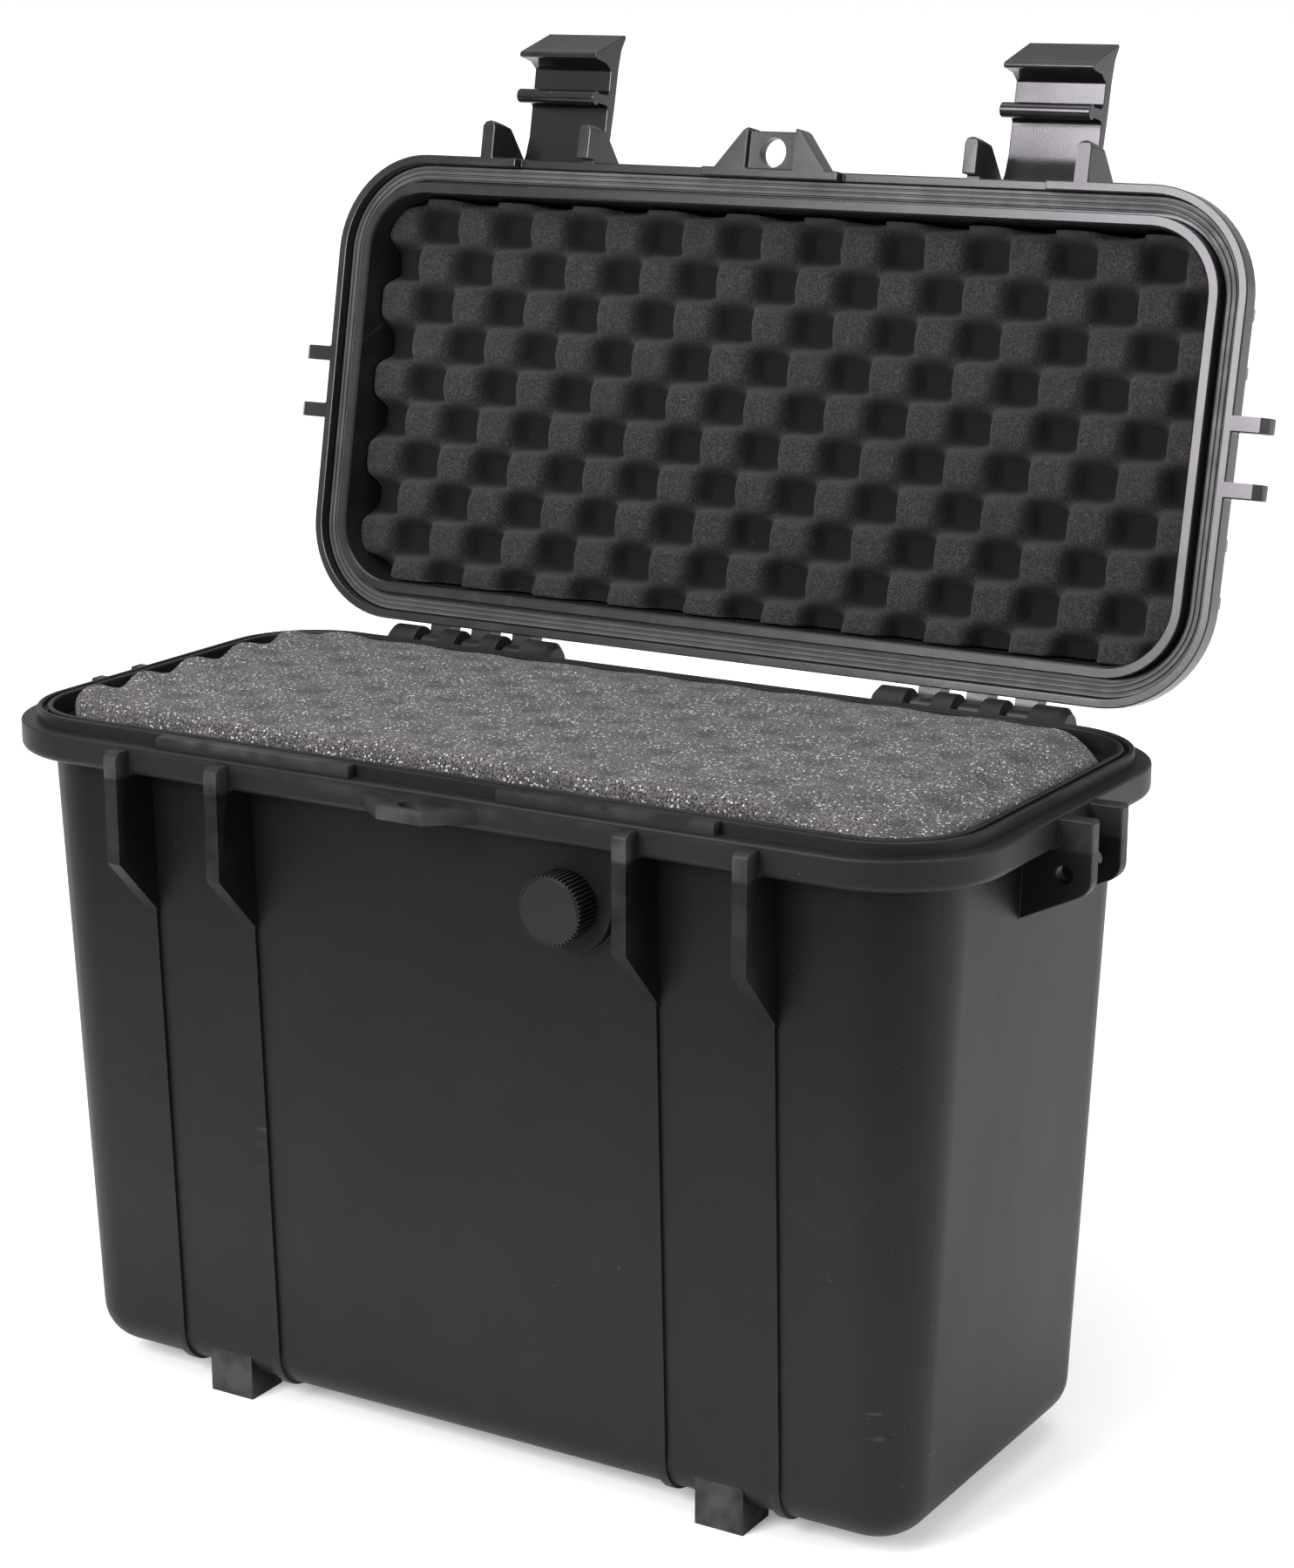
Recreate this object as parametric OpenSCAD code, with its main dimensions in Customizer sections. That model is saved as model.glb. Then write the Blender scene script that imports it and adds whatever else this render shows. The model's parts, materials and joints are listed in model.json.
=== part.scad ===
// Hard equipment case: a tall moulded tub, a shallow lid hinged at the back and standing open,
// two latches on the lid's front edge, a pressure valve, a carrying handle and foam.
// Millimetres. +X runs along the case, -Y is the front, Z is up from the feet.

/* [Tub] */
// Length of the rim band
band_length = 407; // [380:1:430]
// Depth of the rim band, front to back
band_depth = 196.5; // [190:0.5:210]
// Corner radius of the rim band
band_corner_r = 42.5; // [40:0.5:46]
// Height of the ledge that the lid rests on
tub_height = 262; // [240:1:300]
// Height of the rim band
band_height = 11.4; // [9:0.1:12]
// How far the band stands out past the wall
band_overhang = 12.5; // [12:0.5:13]
// Draft of the tub's wall, in degrees
draft = 2.3; // [1.5:0.1:2.5]
// Thickness of the moulded walls
wall = 3.2; // [2.8:0.1:3.4]
// Height of the feet
foot_height = 7; // [5:0.5:9]
// Radius of the tub's bottom edge
bottom_edge_r = 16; // [12:1:18]
// Height of the seal tongue above the ledge
tongue_height = 4.5; // [3.5:0.1:4.5]

/* [Lid] */
// Angle that the lid stands open, from closed
lid_open = 101.2; // [90:0.1:110]
// Height of the lid from its rim to its top
lid_height = 43; // [40:1:50]
// Height of the lid's outer flange
flange_height = 10; // [9.6:0.1:10.5]
// Radius of the lid's top edge
lid_edge_r = 12; // [8:1:14]
// Draft of the lid's dish, in degrees
lid_draft = 2; // [1:0.1:3]

/* [Latches] */
// Distance of each latch from the middle of the case
latch_x = 108.8; // [100:0.2:115]
// Width of a latch
latch_width = 37; // [34:0.5:38.5]
// Clear width between the two fins of a latch bay
bay_width = 40.4; // [40:0.1:42]
// Thickness of a fin
fin_thickness = 5.7; // [5:0.1:6]

/* [Hinges] */
// Distance of each hinge from the middle of the case
hinge_x = 113; // [105:0.5:114]
// Radius of the lid's hinge knuckles
knuckle_r = 5.5; // [5:0.1:5.8]
// Radius of the tub's hinge knuckles, which nearly reach the open lid
tub_knuckle_r = 8.6; // [7:0.1:8.8]

/* [Valve] */
// Distance of the valve from the middle of the case
valve_x = 54.3; // [40:0.1:56]
// Diameter of the valve knob
knob_d = 25; // [22:0.5:27]
// Number of teeth round the knob
knob_teeth = 48; // [36:1:60]

/* [Handle] */
// Distance between the middles of the handle's arms
handle_span = 130; // [120:1:136]
// Length of the handle's arms, from pivot to grip
handle_arm = 38; // [34:1:42]

/* [Hidden] */
$fn = 48;
round_fn = 96;
part_gap = 0.3;
pin_clearance = 0.05;

// The open lid stands behind the tub, so the tub sits forward of the origin.
case_y = -39.6;

// Every rim outline is swept round the same four corner centres.
corner_x = band_length / 2 - band_corner_r;
corner_y = band_depth / 2 - band_corner_r;

band_z = tub_height - band_height;
wall_r = band_corner_r - band_overhang;
bottom_arc_z = foot_height + bottom_edge_r;
bottom_arc_r = wall_r - (band_z - bottom_arc_z) * tan(draft) - bottom_edge_r / cos(draft);
tongue_out_r = band_corner_r - 6.1;
tongue_in_r = tongue_out_r - 6;
tongue_z = tub_height + tongue_height;
inner_ledge_z = tub_height - 3.5;
ridge_width = 2;
ridge_chamfer = 0.5;
ridge_groove = 2.5;

// Radius of the tub's outer wall, from the corner centres, at a height
function wall_r_at(z) = wall_r - (band_z - z) * tan(draft);

// Points along an arc about a centre
function arc(centre_a, centre_b, r, from, to, steps) =
    [for (i = [0 : steps]) let (t = from + (to - from) * i / steps)
        [centre_a + r * cos(t), centre_b + r * sin(t)]];

lid_z = tub_height + 0.2;
lid_r = band_corner_r - 1.9;
seal_out_r = tongue_out_r + 0.6;
seal_in_r = tongue_in_r - 1;
opening_r = seal_in_r - 4.2;
dish_r = opening_r + wall;
channel_depth = 7.8;
seal_face = 4.8;
lid_arc_h = lid_height - lid_edge_r;
lid_arc_r = dish_r - lid_arc_h * tan(lid_draft) - lid_edge_r / cos(lid_draft);
lid_front_y = -(corner_y + lid_r);

hinge_y = band_depth / 2 + 7.7;
hinge_z = tub_height - 1.9;
hinge_pin_r = 1.6;
end_knuckle = 14.5;
mid_knuckle = 9;
knuckle_gap = 1;
lid_knuckle = 9.2;
hinge_length = 2 * end_knuckle + 2 * mid_knuckle + 3 * lid_knuckle + 6 * knuckle_gap;

latch_pivot_y = lid_front_y + 4.6;
latch_pivot_h = 16;
latch_pin_r = 1.6;
latch_barrel_r = 4.5;
fin_offset = bay_width / 2 + fin_thickness / 2;

valve_z = 227.5;
boss_y = -(corner_y + wall_r + 2.9);
boss_r = 18;
insert_r = 5;
stem_r = 3;
knob_depth = 11.4;
knob_back_y = boss_y - 0.5;

ear_offset = 12.3;
ear_thickness = 6;
ear_hole_r = 3;
ear_hole_x = 206;
ear_hole_z = 242;
ear_tip_x = 216;

lock_hole_y = lid_front_y - 6.4;
lid_lock_hole_r = 5.8;
tub_lock_hole_r = 4.4;

handle_pivot_h = lid_height + 10;
handle_pin_r = 2;
grip_r = 7;
arm_width = 12;
// The handle hangs straight down from the open lid.
handle_hang = lid_open - 90;

pocket = [250, 96];
base_pad_z = foot_height + wall + 0.4;
base_pad_height = 14;
block_height = 76;

// Sweeps an outline of (distance from the corner centre, height) round the rounded rectangle.
module swept() {
    for (side_x = [0, 1]) mirror([side_x, 0, 0])
        for (side_y = [0, 1]) mirror([0, side_y, 0])
            translate([corner_x, corner_y, 0])
                rotate_extrude(angle = 90, $fn = round_fn) children();
    for (side_x = [0, 1]) mirror([side_x, 0, 0])
        translate([corner_x, corner_y, 0]) rotate([90, 0, 0])
            linear_extrude(2 * corner_y) children();
    for (side_y = [0, 1]) mirror([0, side_y, 0])
        translate([-corner_x, corner_y, 0]) rotate([90, 0, 90])
            linear_extrude(2 * corner_x) children();
}

// A rounded-rectangle block whose corners keep the case's corner centres.
module rounded_block(r, height) {
    linear_extrude(height) {
        square([2 * corner_x, 2 * (corner_y + r)], center = true);
        square([2 * (corner_x + r), 2 * corner_y], center = true);
        for (x = [-corner_x, corner_x]) for (y = [-corner_y, corner_y])
            translate([x, y]) circle(r, $fn = round_fn);
    }
}

// A plate that stands across X: its outline is (y, z), centred on x.
module plate_x(x, thickness) {
    translate([x - thickness / 2, 0, 0]) rotate([90, 0, 90]) linear_extrude(thickness) children();
}

// A plate that stands across Y: its outline is (x, z), centred on y.
module plate_y(y, thickness) {
    translate([0, y + thickness / 2, 0]) rotate([90, 0, 0]) linear_extrude(thickness) children();
}

module rod_x(r, length, x, y, z) {
    translate([x - length / 2, y, z]) rotate([0, 90, 0]) cylinder(h = length, r = r);
}

module rod_y(r, length, x, y, z) {
    translate([x, y + length / 2, z]) rotate([90, 0, 0]) cylinder(h = length, r = r);
}

// The tub stands forward of the origin.
module in_case() {
    translate([0, case_y, 0]) children();
}

// Turns what is drawn for the closed lid to where the lid stands open.
module in_lid() {
    in_case() translate([0, hinge_y, hinge_z]) rotate([-lid_open, 0, 0])
        translate([0, -hinge_y, -hinge_z]) translate([0, 0, lid_z]) children();
}

// Tub -----------------------------------------------------------------------

module tub_outline() {
    polygon(concat(
        [[0, foot_height]],
        arc(bottom_arc_r, bottom_arc_z, bottom_edge_r, -90, -draft, 9),
        [[wall_r, band_z]],
        arc(band_corner_r - 3, band_z + 3, 3, -90, 0, 4),
        arc(band_corner_r - 1, tub_height - 1, 1, 0, 90, 3),
        [[tongue_out_r, tub_height]],
        ridge_points(tongue_out_r),
        [[tongue_out_r - ridge_width, tongue_z - ridge_groove],
         [tongue_in_r + ridge_width, tongue_z - ridge_groove]],
        ridge_points(tongue_in_r + ridge_width),
        [[tongue_in_r, inner_ledge_z],
         [wall_r_at(inner_ledge_z) - wall / cos(draft), inner_ledge_z]],
        arc(bottom_arc_r, bottom_arc_z, bottom_edge_r - wall, -draft, -90, 9),
        [[0, foot_height + wall]]));
}

// The top of one seal ridge, from its outer edge inwards
function ridge_points(outer_r) = [
    [outer_r, tongue_z - ridge_chamfer],
    [outer_r - ridge_chamfer, tongue_z],
    [outer_r - ridge_width + ridge_chamfer, tongue_z],
    [outer_r - ridge_width, tongue_z - ridge_chamfer]];

// Along most of the front the ledge is filled up to the tongue's height.
fill_from = 31;
fill_to = 117;
module ledge_fill() {
    for (side = [0, 1]) mirror([side, 0, 0])
        translate([fill_from, -(corner_y + band_corner_r - 1.4), tub_height - 2])
            cube([fill_to - fill_from, band_corner_r - 1.4 - tongue_out_r + 1.5, tongue_height + 2]);
}

fin_front_y = -(corner_y + band_corner_r + 7.6);
fin_top_z = tub_height - 1.6;
fin_mid_z = 218.3;
fin_low_z = 194.5;
module tub_fin(x) {
    plate_x(x, fin_thickness)
        polygon([[-(corner_y + wall_r - 1.6), fin_top_z], [fin_front_y + 1.2, fin_top_z],
            [fin_front_y, fin_top_z - 1.2], [fin_front_y, fin_mid_z],
            [-(corner_y + wall_r_at(fin_low_z)), fin_low_z],
            [-(corner_y + wall_r_at(fin_low_z) - 1.6), fin_low_z]]);
}

// A thin strip runs down the wall below a fin and wraps under the bottom edge.
strip_width = 4.6;
strip_proud = 1.5;
module tub_strip(x) {
    plate_x(x, strip_width)
        mirror([1, 0]) translate([corner_y, 0])
            polygon(concat(
                [[bottom_arc_r - 18, foot_height - strip_proud]],
                arc(bottom_arc_r, bottom_arc_z, bottom_edge_r + strip_proud, -90, -draft, 9),
                [[wall_r_at(fin_low_z + 6) + strip_proud, fin_low_z + 6],
                 [wall_r_at(fin_low_z + 6) - 1.6, fin_low_z + 6]],
                arc(bottom_arc_r, bottom_arc_z, bottom_edge_r - 1.6, -draft, -90, 9),
                [[bottom_arc_r - 18, foot_height + 1.6]]));
}

foot_width = 19.6;
foot_depth = 19;
module feet() {
    for (x = [-latch_x, latch_x]) for (side_y = [0, 1]) mirror([0, side_y, 0])
        translate([x - foot_width / 2, -75.8, 0])
            difference() {
                cube([foot_width, foot_depth, 18]);
                translate([-1, bottom_edge_r - 4, foot_height + 2])
                    cube([foot_width + 2, foot_depth, 18]);
            }
}

// Two plates at each end of the tub, drilled along Y for a strap's pin
module ears() {
    corner = 7;
    for (side_x = [0, 1]) mirror([side_x, 0, 0])
        for (y = [-ear_offset, ear_offset])
            plate_y(y, ear_thickness)
                polygon(concat(
                    [[corner_x + wall_r - 2, tub_height - 0.5], [ear_tip_x - 1, tub_height - 0.5],
                     [ear_tip_x, tub_height - 1.5]],
                    arc(ear_tip_x - corner, ear_hole_z - 1, corner, 0, -65, 6),
                    [[corner_x + wall_r_at(224), 224], [corner_x + wall_r_at(224) - 1.6, 224]]));
}

module lock_tab() {
    translate([0, 0, 253.6]) linear_extrude(5)
        polygon([[-24.7, -97], [-24.7, -98.2], [-10, -110], [-9, -110.5], [9, -110.5],
            [10, -110], [24.7, -98.2], [24.7, -97]]);
}

// The valve stands on a pad that runs up to the band.
module valve_boss() {
    rod_y(boss_r, 5, valve_x, boss_y + 2.5, valve_z);
    translate([valve_x - boss_r, boss_y, valve_z])
        cube([2 * boss_r, 5, band_z - valve_z + 1]);
}

// Start of each tub knuckle and each lid knuckle, from the hinge's end
tub_knuckles = [
    [0, end_knuckle],
    [end_knuckle + 2 * knuckle_gap + lid_knuckle, mid_knuckle],
    [end_knuckle + 4 * knuckle_gap + 2 * lid_knuckle + mid_knuckle, mid_knuckle],
    [hinge_length - end_knuckle, end_knuckle]];
lid_knuckles = [for (i = [0 : 2])
    end_knuckle + knuckle_gap + i * (lid_knuckle + 2 * knuckle_gap + mid_knuckle)];

// A tub knuckle. The two end knuckles lose their corner at the hinge's end.
module tub_knuckle(start, length, hinge_side) {
    x = hinge_side * hinge_x - hinge_length / 2 + start + length / 2;
    inward = start == 0 ? 1 : -1;
    chamfer = length == end_knuckle ? 2.2 : 0;
    translate([x - inward * length / 2, hinge_y, hinge_z]) rotate([0, inward * 90, 0]) {
        if (chamfer > 0)
            cylinder(h = chamfer, r1 = tub_knuckle_r - chamfer, r2 = tub_knuckle_r);
        translate([0, 0, chamfer]) cylinder(h = length - chamfer, r = tub_knuckle_r);
    }
    plate_x(x, length)
        polygon([[band_depth / 2 - 1.4, hinge_z + 1.2], [band_depth / 2 - 0.6, hinge_z + 3.4],
            [hinge_y - 2.8, hinge_z + 4.7], [hinge_y, hinge_z], [hinge_y - 2.8, hinge_z - 4.7],
            [band_depth / 2 - 1.4, band_z + 3]]);
}

module tub_shell() {
    color("#2b2a2c") in_case() difference() {
        union() {
            swept() tub_outline();
            translate([-corner_x, -corner_y, foot_height])
                cube([2 * corner_x, 2 * corner_y, wall]);
            ledge_fill();
            for (x = [-latch_x, latch_x]) for (side = [-1, 1]) {
                tub_fin(x + side * fin_offset);
                tub_strip(x + side * fin_offset);
            }
            feet();
            ears();
            lock_tab();
            valve_boss();
            for (side = [-1, 1]) for (k = tub_knuckles) tub_knuckle(k[0], k[1], side);
        }
        for (side = [-1, 1]) {
            rod_x(hinge_pin_r, hinge_length + 2, side * hinge_x, hinge_y, hinge_z);
            rod_y(ear_hole_r, 40, side * ear_hole_x, 0, ear_hole_z);
        }
        translate([0, lock_hole_y, 240]) cylinder(h = 30, r = tub_lock_hole_r);
        rod_y(insert_r, 20, valve_x, boss_y + 5, valve_z);
    }
}

// Lid -----------------------------------------------------------------------

module lid_outline() {
    polygon(concat(
        [[lid_r - 0.5, 0], [lid_r, 0.5]],
        arc(lid_r - 1.8, flange_height - 1.8, 1.8, 0, 90, 3),
        [[dish_r - flange_height * tan(lid_draft), flange_height]],
        arc(lid_arc_r, lid_arc_h, lid_edge_r, lid_draft, 90, 7),
        [[0, lid_height], [0, lid_height - wall]],
        arc(lid_arc_r, lid_arc_h, lid_edge_r - wall, 90, lid_draft, 7),
        [[opening_r, 1], [opening_r + 0.7, 0.3], [seal_in_r - 0.3, 0.3], [seal_in_r, 0.6],
         [seal_in_r, channel_depth], [seal_out_r, channel_depth], [seal_out_r, 0]]));
}

// A lid fin, with its front end rounded across its width
module lid_fin(x) {
    tip_r = fin_thickness / 2;
    intersection() {
        plate_x(x, fin_thickness)
            polygon([[-(corner_y + dish_r - 1.6), channel_depth + 1],
                [lid_front_y + 1.5, channel_depth + 1], [lid_front_y + 1.5, 0],
                [lid_front_y - 14, 0], [lid_front_y - 15, 1.2], [lid_front_y - 15, 3],
                [lid_front_y - 13, 13], [lid_front_y, 27], [-(corner_y + dish_r - 1.6), 29]]);
        translate([x, lid_front_y - 15 + tip_r, -1]) {
            cylinder(h = lid_height, r = tip_r);
            translate([-tip_r, 0, 0]) cube([2 * tip_r, 40, lid_height]);
        }
    }
}

// Pegs at each end line up with the ears of the tub.
module lid_pegs() {
    for (side_x = [0, 1]) mirror([side_x, 0, 0])
        for (y = [-ear_offset + 0.3, ear_offset - 0.3])
            plate_y(y, 6)
                polygon([[corner_x + lid_r - 2, 0], [corner_x + lid_r + 10.5, 0],
                    [corner_x + lid_r + 13.8, 3.4], [corner_x + lid_r + 13.8, 7.4],
                    [corner_x + lid_r + 12.4, 8.8], [corner_x + lid_r - 2, 9.6]]);
}

// The lock tab is a plate with a hole, set back between two raised cheeks.
lock_plate = 5;
lock_set_back = 2.4;
cheek_inner = 10.5;
module lid_lock_tab() {
    translate([-11.5, lid_front_y - 14.6, lock_set_back]) cube([23, 15.8, lock_plate]);
    for (side_x = [0, 1]) mirror([side_x, 0, 0])
        linear_extrude(flange_height - 1)
            polygon([[cheek_inner, lid_front_y + 1.2], [cheek_inner, lid_front_y - 15.6],
                [11.5, lid_front_y - 15.6], [13, lid_front_y - 14.6], [24.5, lid_front_y],
                [24.5, lid_front_y + 1.2]]);
}

// Raised strips cross each end of the lid's top and run down to the flange.
lid_strip_inner = 88;
module lid_strips() {
    for (side_x = [0, 1]) mirror([side_x, 0, 0])
        for (y = [-53.5, -32, 32, 53.5])
            plate_y(y, 5)
                polygon(concat(
                    [[corner_x + dish_r + 4.5, flange_height - 1]],
                    arc(corner_x + lid_arc_r + 4.5, lid_arc_h, lid_edge_r, lid_draft, 60, 5),
                    [[corner_x + lid_arc_r - 2, lid_height + 2.5],
                     [lid_strip_inner, lid_height + 2.5], [lid_strip_inner, lid_height - 1.6]],
                    arc(corner_x + lid_arc_r, lid_arc_h, lid_edge_r - 1.6, 90, lid_draft, 5),
                    [[corner_x + dish_r - 2, flange_height - 1]]));
}

module lid_knuckle_part(start, hinge_side) {
    x = hinge_side * hinge_x - hinge_length / 2 + start + lid_knuckle / 2;
    axis_h = hinge_z - lid_z;
    rod_x(knuckle_r, lid_knuckle, x, hinge_y, axis_h);
    plate_x(x, lid_knuckle)
        polygon([[-lid_front_y - 1.4, 1], [-lid_front_y + 2.6, 0.8], [hinge_y - 4.8, axis_h + 1.5],
            [hinge_y, axis_h], [hinge_y + 5, axis_h + 2.2], [hinge_y + 1.4, 8.4],
            [-lid_front_y + 3, flange_height - 0.4], [-lid_front_y - 1.4, flange_height - 0.4]]);
}

// Lugs that hold the carrying handle's pins, one pair at each arm
lug_gap = 1;
lug_thickness = 4;
module handle_lugs() {
    for (arm = [-handle_span / 2, handle_span / 2]) for (side = [-1, 1]) {
        x = arm + side * (arm_width / 2 + lug_gap / 2 + lug_thickness / 2);
        rod_x(6, lug_thickness, x, 0, handle_pivot_h);
        plate_x(x, lug_thickness)
            polygon([[-11, lid_height - 1.5], [-5.4, handle_pivot_h + 2.6], [0, handle_pivot_h],
                [5.4, handle_pivot_h + 2.6], [11, lid_height - 1.5]]);
    }
}

module lid_shell() {
    color("#343335") in_lid() difference() {
        union() {
            swept() lid_outline();
            translate([-corner_x, -corner_y, lid_height - wall])
                cube([2 * corner_x, 2 * corner_y, wall]);
            for (x = [-latch_x, latch_x]) for (side = [-1, 1]) lid_fin(x + side * fin_offset);
            lid_pegs();
            lid_lock_tab();
            lid_strips();
            for (side = [-1, 1]) for (start = lid_knuckles) lid_knuckle_part(start, side);
            handle_lugs();
        }
        // The filled ledge of the tub closes into these two notches of the lip.
        for (side = [0, 1]) mirror([side, 0, 0])
            translate([fill_from - 0.6, lid_front_y - 1, -1])
                cube([fill_to - fill_from + 1.2, lid_r - seal_out_r + 1.2, tongue_height + 1.2]);
        for (side = [-1, 1]) {
            rod_x(hinge_pin_r + pin_clearance, hinge_length + 2, side * hinge_x, hinge_y,
                hinge_z - lid_z);
            rod_x(latch_pin_r, bay_width + 2 * fin_thickness + 2, side * latch_x, latch_pivot_y,
                latch_pivot_h);
            rod_x(handle_pin_r, arm_width + 2 * lug_thickness + 6, side * handle_span / 2, 0,
                handle_pivot_h);
        }
        translate([0, lock_hole_y, -1]) cylinder(h = 14, r = lid_lock_hole_r);
    }
}

module gasket_outline() {
    rib_depth = 0.7;
    inner = seal_in_r + 1.5;
    outer = seal_out_r - 0.1;
    rib_pitch = (outer - inner) / 3;
    polygon(concat(
        [[inner, channel_depth], [outer, channel_depth]],
        [for (i = [0 : 2]) let (start = outer - i * rib_pitch) each [
            [start, seal_face + rib_depth], [start - 0.4, seal_face],
            [start - rib_pitch + 0.6, seal_face],
            [start - rib_pitch + 0.3, seal_face + rib_depth]]],
        [[inner, seal_face + rib_depth]]));
}

module lid_gasket() {
    color("#3b3a3d") in_lid() swept() gasket_outline();
}

// Hinge pins ----------------------------------------------------------------

module hinge_pin(side) {
    color("silver") in_case()
        rod_x(hinge_pin_r, hinge_length - 1, side * hinge_x, hinge_y, hinge_z);
}

module hinge_pin_left() { hinge_pin(-1); }
module hinge_pin_right() { hinge_pin(1); }

// Latches -------------------------------------------------------------------

// Side view of a latch: along it from the pivot, and towards its inner side
latch_bar = [31.6, 2.1];
latch_bar_r = 2.9;
latch_tip = [59.5, -16];
latch_lip = [49, 5];
face_ribs = 12;
module latch_outline() {
    face = latch_tip - latch_lip;
    face_normal = [-face[1], face[0]] / norm(face);
    polygon(concat(
        [[-3.2, -3.2], [-1, -6.5], [5, -10], [14, -11.8], [30, -12.8], [45, -13.1], [53, -14],
         [58.4, -16.6]],
        [for (i = [0 : face_ribs - 1]) each [
            latch_tip - face * (i / face_ribs),
            latch_tip - face * ((i + 0.55) / face_ribs) + face_normal * 0.3]],
        [latch_lip, [48.4, 5.6], [47.2, 5.4], [46.8, 4.2], [46.2, -3], [43.8, -7.5],
         [35.6, -7.6], [34.1, -6.4], [33.6, latch_bar[1]], [29.8, latch_bar[1]],
         [29.6, -6.4], [28.4, -7.6], [16, -7.6], [8, -5.9], [3.2, -3.2]]));
    circle(latch_barrel_r);
    translate(latch_bar) circle(latch_bar_r);
}

module latch(side) {
    color("#201f21") in_lid() difference() {
        // Drawn along -Y, with the inner side down, as the open latch stands.
        translate([side * latch_x - latch_width / 2, latch_pivot_y, latch_pivot_h])
            rotate([90, 0, 90]) linear_extrude(latch_width) rotate(180) latch_outline();
        rod_x(latch_pin_r + pin_clearance, latch_width + 2, side * latch_x, latch_pivot_y,
            latch_pivot_h);
    }
}

module latch_left() { latch(-1); }
module latch_right() { latch(1); }

module latch_pin(side) {
    color("silver") in_lid()
        rod_x(latch_pin_r, bay_width + 2 * fin_thickness - 1, side * latch_x, latch_pivot_y,
            latch_pivot_h);
}

module latch_pin_left() { latch_pin(-1); }
module latch_pin_right() { latch_pin(1); }

// Valve ---------------------------------------------------------------------

knob_recess_r = 9.6;
knob_recess = 1.9;
module valve_knob() {
    tooth = 360 / knob_teeth;
    outer = knob_d / 2;
    color("#1f1e20") in_case() translate([valve_x, knob_back_y, valve_z]) rotate([90, 0, 0])
        difference() {
            union() {
                linear_extrude(knob_depth - 1)
                    polygon([for (i = [0 : knob_teeth - 1]) each [
                        [(outer - 0.7) * cos((i - 0.3) * tooth), (outer - 0.7) * sin((i - 0.3) * tooth)],
                        [outer * cos((i - 0.12) * tooth), outer * sin((i - 0.12) * tooth)],
                        [outer * cos((i + 0.12) * tooth), outer * sin((i + 0.12) * tooth)],
                        [(outer - 0.7) * cos((i + 0.3) * tooth), (outer - 0.7) * sin((i + 0.3) * tooth)]]]);
                translate([0, 0, knob_depth - 1]) cylinder(h = 0.6, r1 = outer - 0.8, r2 = outer - 1.4);
            }
            translate([0, 0, -1]) cylinder(h = knob_recess + 1, r = knob_recess_r);
            translate([0, 0, -1]) cylinder(h = 7, r = stem_r);
        }
}

module valve_stem() {
    color("#c8a860") in_case()
        rod_y(stem_r, 11.4, valve_x, knob_back_y - 6 + 5.7, valve_z);
}

module valve_o_ring() {
    ring_r = 1.15;
    color("#101010") in_case() translate([valve_x, boss_y - ring_r - 0.06, valve_z])
        rotate([90, 0, 0]) rotate_extrude($fn = round_fn) translate([7.6, 0]) circle(ring_r);
}

module valve_insert() {
    color("#c8a860") in_case() difference() {
        rod_y(insert_r, 6, valve_x, boss_y + 3, valve_z);
        rod_y(stem_r + pin_clearance, 10, valve_x, boss_y + 3, valve_z);
    }
}

// Handle --------------------------------------------------------------------

module handle() {
    color("#232224") in_lid() translate([0, 0, handle_pivot_h]) rotate([handle_hang, 0, 0])
        difference() {
            union() {
                rod_x(grip_r, handle_span - 4, 0, handle_arm, 0);
                for (x = [-handle_span / 2, handle_span / 2]) {
                    rod_x(6, arm_width, x, 0, 0);
                    rod_x(grip_r, arm_width, x, handle_arm, 0);
                    plate_x(x, arm_width)
                        polygon([[0, -6], [handle_arm, -grip_r], [handle_arm, grip_r], [0, 6]]);
                }
            }
            rod_x(handle_pin_r + pin_clearance, handle_span + 40, 0, 0, 0);
        }
}

module handle_pin(side) {
    color("silver") in_lid()
        rod_x(handle_pin_r, arm_width + 2 * lug_thickness + lug_gap, side * handle_span / 2, 0,
            handle_pivot_h);
}

module handle_pin_left() { handle_pin(-1); }
module handle_pin_right() { handle_pin(1); }

// Foam ----------------------------------------------------------------------

// The lid's pad stops just short of the dish all round.
lid_foam_face = 11;
lid_foam_back = lid_height - wall - 0.4;
module lid_foam_outline() {
    polygon([[0, lid_foam_face], [opening_r - 0.9, lid_foam_face],
        [lid_arc_r + 8.3, lid_arc_h], [lid_arc_r + 6.6, lid_arc_h + 5.3],
        [lid_arc_r + 1.5, lid_foam_back], [0, lid_foam_back]]);
}

module lid_foam() {
    color("#3a3835") in_lid() {
        swept() lid_foam_outline();
        translate([-corner_x, -corner_y, lid_foam_face])
            cube([2 * corner_x, 2 * corner_y, lid_foam_back - lid_foam_face]);
    }
}

// The sheet lies a little to the right, so a gap shows at its left end.
sheet_z = 257;
sheet_height = 15;
sheet_left = -176;
sheet_right = 185.5;
sheet_half_y = 80.4;
module foam_top_sheet() {
    left_r = 14;
    right_r = 24.6;
    color("#6a6663") in_case() translate([0, 0, sheet_z]) linear_extrude(sheet_height)
        polygon(concat(
            arc(sheet_left + left_r, -sheet_half_y + left_r, left_r, 180, 270, 12),
            arc(sheet_right - right_r, -sheet_half_y + right_r, right_r, 270, 360, 18),
            arc(sheet_right - right_r, sheet_half_y - right_r, right_r, 0, 90, 18),
            arc(sheet_left + left_r, sheet_half_y - left_r, left_r, 90, 180, 12)));
}

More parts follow.
